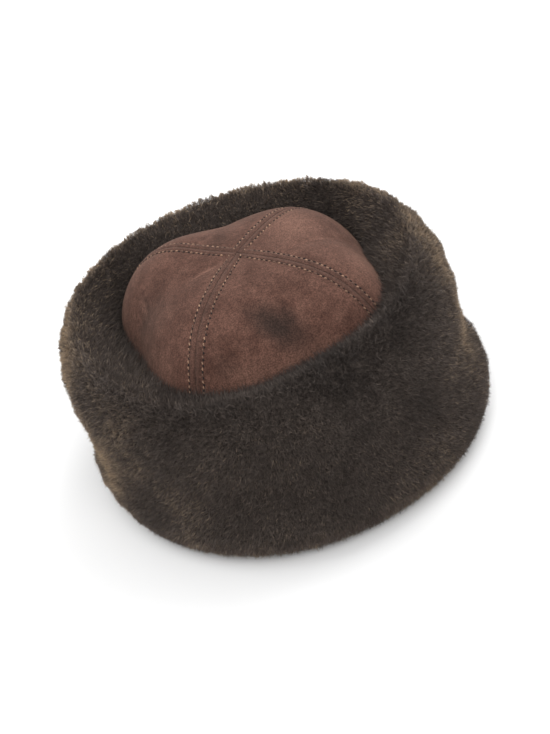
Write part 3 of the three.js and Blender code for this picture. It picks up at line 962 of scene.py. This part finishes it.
def tufted(azimuth, along, surface, normal):
    """Moves of the tips that gather the fibres into small tufts, and a change of tone for each tuft."""
    round_it = np.stack([-np.sin(azimuth), np.cos(azimuth), 0 * azimuth], -1)
    up_it = np.cross(normal, round_it)
    wave_u, wave_v = (TUFT_WAVE * smooth_noise(surface, 2 * TUFT, seed) for seed in (61, 62))
    u = azimuth * CUFF_RADIUS / TUFT + wave_u
    v = np.interp(along, section_steps, section_length) / TUFT + wave_v
    row = np.floor(v).astype(int)
    column = np.floor(u + 0.5 * (row % 2)).astype(int)
    part_u, part_v = u + 0.5 * (row % 2) - column - 0.5, v - row - 0.5
    dice = np.random.default_rng(TUFT_SEED).uniform(-1, 1, (TUFT_DICE, TUFT_DICE, 4))
    dice = dice[row % TUFT_DICE, column % TUFT_DICE]
    aside = TUFT * (TUFT_ASIDE * dice[:, 0] - TUFT_PULL * part_u)
    upward = TUFT * (TUFT_ASIDE * dice[:, 1] - TUFT_PULL * part_v)
    height = TUFT_HIGH * (TUFT_RISE * dice[:, 2] - TUFT_ROUND * (part_u**2 + part_v**2))
    move = aside[:, None] * round_it + upward[:, None] * up_it + height[:, None] * normal
    strength = TUFT_LEAST + (1 - TUFT_LEAST) * bell(along, CREST_ALONG, TUFT_CREST_REACH)
    return strength[:, None] * move, dice[:, 3]


# %% [markdown]
# ## Tone of the fleece
# The wool is nearly black-brown. Its tips are painted golden where light shines through them from behind,
# along the far crest and where the cuff bends outwards, and painted darker in shade at the near lip and in
# the far valley. A weight map painted by hand could say so. Here each fibre gets a tone from noise, from
# its tuft, from painted light on the far crest and from a short table of lit and shaded places.

# %% Tone of the fibres
TONE_MIDDLE, TONE_SPREAD, TONE_LEAST, TONE_MOST = 0.45, 0.10, 0.03, 0.97
TONE_NOISES = [
    # strength, size, seed
    (0.16, 0.032, 70),
    (0.08, 0.008, 71),
]
TUFT_TONE, EDGE_SHADE, STRAY_TONE, FAR_STRAY_GLOW, LIP_TONE = 0.05, 0.2, 0.12, 0.25, 0.04
# the side away from the camera, where light from behind shines through the pile; painted glow and shade
# are laid by it
FAR_SIDE, FAR_LEVEL, FAR_SWING = math.radians(45), 0.3, 1.1
CREST_REACH, CREST_GLOW = 0.045, 0.42
# painted shade in the valley by the suede on the far side
VALLEY_FROM, VALLEY_REACH, VALLEY_SHADE = 0.78, 0.15, 0.2
# painted light and shade on the pile, place by place: lighter at the rims and lower sides where light from
# behind catches the tips, darker at the front and the near lip
LIT_AND_SHADED_PLACES = [
    # what, centre in mm, reach in mm, change of tone
    ("left side below the fold", (-104, 76, 60), 34, 0.38),
    ("left foot", (-106, 76, 30), 28, 0.22),
    ("left rim", (-84, 98, 110), 20, 0.26),
    ("right rim", (62, -108, 94), 28, 0.20),
    ("right side below the fold", (46, -118, 56), 26, 0.18),
    ("right top", (60, -102, 112), 40, 0.14),
    ("front", (-93, -94, 75), 60, -0.06),
    ("front, right", (-30, -125, 75), 50, -0.12),
    ("front lip", (-70, -88, 118), 34, -0.30),
    ("front lip, right", (-18, -108, 120), 34, -0.26),
    ("front lip, left", (-106, -30, 112), 34, -0.26),
]


def fibre_tone(azimuth, along, surface, tuft_tone, spread, edge, lip, is_stray):
    """Tone of each fibre, from dark (0) to golden (1)."""
    shade = TONE_MIDDLE
    for strength, size, seed in TONE_NOISES:
        shade = shade + strength * smooth_noise(surface, size, seed)
    # the last fibres by the suede are darkened: painted shade
    shade = shade + TUFT_TONE * tuft_tone + spread - EDGE_SHADE * edge
    far = np.clip(FAR_LEVEL + FAR_SWING * np.cos(azimuth - FAR_SIDE), 0, 1)
    # strays are lighter; on the far side the extra is painted light shining through them from behind
    shade = shade + (STRAY_TONE + FAR_STRAY_GLOW * far + LIP_TONE * lip) * is_stray
    # painted light: a golden glow along the crest on the far side
    shade = shade + far * CREST_GLOW * bell(along, CREST_ALONG, CREST_REACH)
    # painted shade: darker towards the suede in the far valley
    shade = shade - VALLEY_SHADE * far * ramp(along, VALLEY_FROM, VALLEY_REACH)
    # painted light and shade by place
    for _, centre, reach, change in LIT_AND_SHADED_PLACES:
        away = np.linalg.norm(1000 * surface - centre, axis=1)
        shade = shade + change * bell(away, 0, reach)
    return np.clip(shade, TONE_LEAST, TONE_MOST)


# %% [markdown]
# ## Laying the fibres
# Every fibre ends at the form of the cuff, give or take half a millimetre, as shears leave it. Some strays
# stand out further, most of all at the near lip, and at the suede the last fibres reach over the seam.
# A few lie flat on the floor under the hat. Fixed seeds draw the same fibres on every run.

# %% Fibres of a quarter
FIBRES_A_QUARTER = 92000
FIBRE_LONG, LONG_SPREAD, FIBRE_WIDE, WIDE_SPREAD = 0.0055, 0.15, 0.00026, 0.25
COMB_SIZE, COMB_SEEDS, COMB, WILD = 0.045, (50, 51, 52), 0.6, 1.4
BESIDE = (-0.08, -0.04, 0.04, 0.08)
LEVEL_SPREAD, LEVEL_MOST = 0.0004, 0.0012
STRAY_SHARE, STRAY_LONG = 0.15, 0.0018
LIP_ALONG, LIP_REACH, LIP_STRAY = 0.80, 0.08, 1.6
EDGE_FROM, EDGE_REACH, EDGE_FIBRE, EDGE_SLIM = 0.9, 0.1, 0.009, 0.4
EDGE_MOSTLY_SHORT, EDGE_WILD, EDGE_UP, EDGE_IN = 1.5, 0.3, 0.9, 0.5
FLOOR_SHARE, FLOOR_TIP, FLOOR_ROOT_RISE, LOWEST_ROOT, LOWEST_TIP = 0.08, 0.0008, 0.002, 0.0006, 0.0004


def fibre_lean(azimuth, along, surface, normal, wild):
    """Which way the fibres point: off the skin, combed in waves, and each a little its own way."""
    comb = np.stack([smooth_noise(surface, COMB_SIZE, seed) for seed in COMB_SEEDS], -1)
    beside = [cuff_normals(azimuth, np.clip(along + step, 0, 1)) for step in BESIDE]
    return unit(normal + sum(beside) + COMB * comb + WILD * wild)


def over_the_suede(surface, edge, wild, rng):
    """How far the last fibres reach over the suede."""
    from_axis = surface / np.linalg.norm(surface[:, :2], axis=1, keepdims=True)
    upward = unit([0, 0, EDGE_UP] - EDGE_IN * from_axis)
    long = edge * EDGE_FIBRE * rng.uniform(0, 1, len(edge)) ** EDGE_MOSTLY_SHORT
    return long[:, None] * unit(upward + EDGE_WILD * wild)


def lay_on_floor(root, tip, azimuth, wild, rng):
    """Lays a share of the fibres flat on the floor, and keeps all of them above it."""
    count = len(root)
    under = (rng.uniform(0, 1, count) < FLOOR_SHARE)[:, None]
    inner = cap_radius(azimuth, 0 * azimuth) + FLOOR_INNER_INSET
    outer = np.linalg.norm(cuff_points(azimuth, 0 * azimuth)[:, :2], axis=1)
    radius = inner + (outer - inner) * rng.uniform(0, 1, count)
    outward = np.stack([np.cos(azimuth), np.sin(azimuth), 0 * azimuth], -1)
    laid = radius[:, None] * outward + [0, 0, FLOOR_TIP]
    flow = unit(wild * [1, 1, 0] + outward)
    tip = np.where(under, laid, tip)
    root = np.where(under, laid - flow * FIBRE_LONG + [0, 0, FLOOR_ROOT_RISE], root)
    root[:, 2] = np.maximum(root[:, 2], LOWEST_ROOT)
    tip[:, 2] = np.maximum(tip[:, 2], LOWEST_TIP)
    return root, tip


def quarter_of_pile(name, start, seed):
    """Fibres on one quarter of the cuff, and on its underside."""
    rng = np.random.default_rng(seed)
    count = FIBRES_A_QUARTER
    azimuth = np.radians(start + 90 * rng.uniform(0, 1, count))
    along = np.interp(rng.uniform(0, section_fibres[-1], count), section_fibres, section_steps)
    normal = cuff_normals(azimuth, along)
    surface = cuff_points(azimuth, along) + normal * lock_lift(azimuth, along)[:, None]
    gather, tuft_tone = tufted(azimuth, along, surface, normal)
    wild = rng.normal(size=(count, 3))
    lean = fibre_lean(azimuth, along, surface, normal, wild)
    level = np.clip(rng.normal(0, LEVEL_SPREAD, count), -LEVEL_MOST, LEVEL_MOST)
    stray = (rng.uniform(0, 1, count) < STRAY_SHARE) * rng.uniform(0, STRAY_LONG, count)
    lip = np.clip(-np.cos(azimuth - FAR_SIDE), 0, 1) * bell(along, LIP_ALONG, LIP_REACH)
    tip = surface + lean * (level + stray * (1 + LIP_STRAY * lip))[:, None]
    edge = ramp(along, EDGE_FROM, EDGE_REACH)
    over = over_the_suede(surface, edge, wild, rng)
    long = FIBRE_LONG * rng.uniform(1 - LONG_SPREAD, 1 + LONG_SPREAD, count)
    root, tip = tip - lean * long[:, None], tip + gather + over
    spread = rng.normal(0, TONE_SPREAD, count)
    shade = fibre_tone(azimuth, along, surface, tuft_tone, spread, edge, lip, stray > 0)
    root, tip = lay_on_floor(root, tip, azimuth, wild, rng)
    wide = FIBRE_WIDE * rng.uniform(1 - WIDE_SPREAD, 1 + WIDE_SPREAD, count) * (1 - EDGE_SLIM * edge)
    return fibre_mesh(name, root, tip, wide, shade, rng)


# %% Four quarters of pile
PILE_SEED = 80
QUARTERS = [("left", -45), ("back", 45), ("right", 135), ("front", 225)]
for k, (quarter, start) in enumerate(QUARTERS):
    piece = quarter_of_pile(f"pile_{quarter}", start, PILE_SEED + k)
    print(piece.name, len(piece.data.polygons), "triangles")
